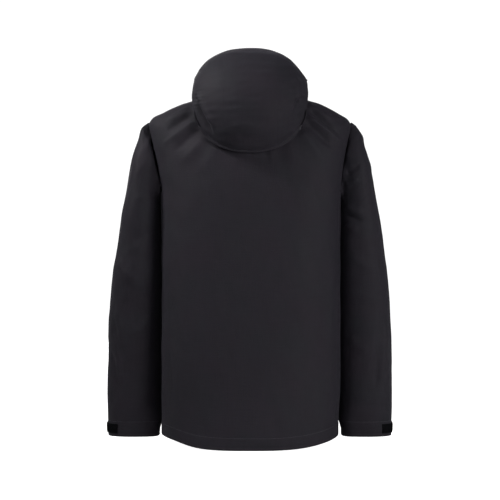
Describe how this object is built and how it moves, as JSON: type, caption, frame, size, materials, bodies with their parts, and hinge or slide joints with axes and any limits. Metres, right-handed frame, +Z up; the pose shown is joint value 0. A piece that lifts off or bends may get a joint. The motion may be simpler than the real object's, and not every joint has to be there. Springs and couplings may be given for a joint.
{
  "type": "hardshell jacket",
  "caption": "Hooded waterproof hardshell jacket, black, with full front zip, hand pockets, cuff tabs and a drop-tail hem; sleeves, hood, sliders and tabs move.",
  "frame": {"origin": "middle of the outline in plan, at the height of the lowest point of the back hem", "axes": "+Z up the wearer, -Y the way the wearer faces, +X to the wearer's left"},
  "size_m": [0.6154, 0.3291, 0.8436],
  "materials": {
    "face_fabric": "fine plain-weave laminated nylon, matt with a faint sheen",
    "backer": "smooth knit backer with taped seams",
    "trim": "ribbed black tape and loop fastener",
    "zip_chain": "coated coil chain and tape",
    "slider_metal": "black painted die-cast",
    "moulded": "moulded soft plastic, satin",
    "cord": "braided elastic cord"
  },
  "bodies": {
    "torso": {"back_panel": "face_fabric", "chin_guard": "backer", "collar_lining": "backer", "collar_shell": "face_fabric", "hanger_loop": "trim", "hem_drawcord": "cord", "hem_facing": "backer", "hood_neck_gusset": "face_fabric", "left_front_panel": "face_fabric", "left_hem_cord_tail": "cord", "left_pocket_bag": "backer", "left_pocket_welt": "trim", "left_pocket_zip": "zip_chain", "left_side_panel": "face_fabric", "left_sleeve_cap": "face_fabric", "left_zip_tape": "zip_chain", "right_front_panel": "face_fabric", "right_hem_cord_tail": "cord", "right_pocket_bag": "backer", "right_pocket_welt": "trim", "right_pocket_zip": "zip_chain", "right_side_panel": "face_fabric", "right_sleeve_cap": "face_fabric", "right_zip_tape": "zip_chain", "storm_flap": "face_fabric", "zip_bottom_box": "moulded"},
    "hood": {"hood_center_panel": "face_fabric", "hood_left_panel": "face_fabric", "hood_right_panel": "face_fabric", "hood_brim": "moulded"},
    "left_upper_sleeve": {"left_sleeve_upper": "face_fabric"},
    "left_forearm": {"left_sleeve_lower": "face_fabric", "left_cuff_facing": "backer", "left_cuff_loop_patch": "trim"},
    "left_cuff_tab": {"left_cuff_tab": "moulded"},
    "left_pocket_slider": {"left_pocket_slider": "slider_metal"},
    "left_pocket_pull": {"left_pocket_pull": "moulded"},
    "left_hem_lock": {"left_hem_cord_lock": "moulded"},
    "right_upper_sleeve": {"right_sleeve_upper": "face_fabric"},
    "right_forearm": {"right_sleeve_lower": "face_fabric", "right_cuff_facing": "backer", "right_cuff_loop_patch": "trim"},
    "right_cuff_tab": {"right_cuff_tab": "moulded"},
    "right_pocket_slider": {"right_pocket_slider": "slider_metal"},
    "right_pocket_pull": {"right_pocket_pull": "moulded"},
    "right_hem_lock": {"right_hem_cord_lock": "moulded"},
    "main_slider": {"main_zip_slider": "slider_metal"},
    "main_pull": {"main_zip_pull": "moulded"}
  },
  "joints": [
    {"name": "hood_flip", "type": "hinge", "parent": "torso", "child": "hood", "pos_m": [0, -0.084, 0.727], "axis": [1, 0, 0], "range_deg": [0, 40]},
    {"name": "left_shoulder_lift", "type": "hinge", "parent": "torso", "child": "left_upper_sleeve", "pos_m": [0.238, -0.014, 0.612], "axis": [0, -1, 0], "range_deg": [0, 60]},
    {"name": "left_elbow_bend", "type": "hinge", "parent": "left_upper_sleeve", "child": "left_forearm", "pos_m": [0.246, -0.054, 0.317], "axis": [-1, 0, 0], "range_deg": [0, 60]},
    {"name": "left_cuff_tab_peel", "type": "hinge", "parent": "left_forearm", "child": "left_cuff_tab", "pos_m": [0.23608, -0.08912, 0.0305], "axis": [0, 0, -1], "range_deg": [0, 110]},
    {"name": "right_shoulder_lift", "type": "hinge", "parent": "torso", "child": "right_upper_sleeve", "pos_m": [-0.238, -0.014, 0.612], "axis": [0, 1, 0], "range_deg": [0, 60]},
    {"name": "right_elbow_bend", "type": "hinge", "parent": "right_upper_sleeve", "child": "right_forearm", "pos_m": [-0.246, -0.054, 0.317], "axis": [-1, 0, 0], "range_deg": [0, 60]},
    {"name": "right_cuff_tab_peel", "type": "hinge", "parent": "right_forearm", "child": "right_cuff_tab", "pos_m": [-0.23608, -0.08912, 0.0305], "axis": [0, 0, 1], "range_deg": [0, 110]},
    {"name": "main_zip_slide", "type": "slide", "parent": "torso", "child": "main_slider", "axis": [0, -0.0813, -0.9967], "range_m": [0, 0.718]},
    {"name": "main_pull_turn", "type": "hinge", "parent": "main_slider", "child": "main_pull", "pos_m": [0, -0.10568, 0.76821], "axis": [-1, 0, 0], "range_deg": [0, 150]},
    {"name": "left_pocket_zip_slide", "type": "slide", "parent": "torso", "child": "left_pocket_slider", "axis": [0, -0.0726, -0.9974], "range_m": [0, 0.154]},
    {"name": "left_pocket_pull_turn", "type": "hinge", "parent": "left_pocket_slider", "child": "left_pocket_pull", "pos_m": [0.12627, -0.12723, 0.35428], "axis": [-0.9375, -0.3472, 0.0253], "range_deg": [0, 150]},
    {"name": "left_hem_lock_slide", "type": "slide", "parent": "torso", "child": "left_hem_lock", "axis": [0, 1, 0], "range_m": [0, 0.06]},
    {"name": "right_pocket_zip_slide", "type": "slide", "parent": "torso", "child": "right_pocket_slider", "axis": [0, -0.0726, -0.9974], "range_m": [0, 0.154]},
    {"name": "right_pocket_pull_turn", "type": "hinge", "parent": "right_pocket_slider", "child": "right_pocket_pull", "pos_m": [-0.12627, -0.12723, 0.35428], "axis": [-0.9375, 0.3472, -0.0253], "range_deg": [0, 150]},
    {"name": "right_hem_lock_slide", "type": "slide", "parent": "torso", "child": "right_hem_lock", "axis": [0, 1, 0], "range_m": [0, 0.06]}
  ]
}
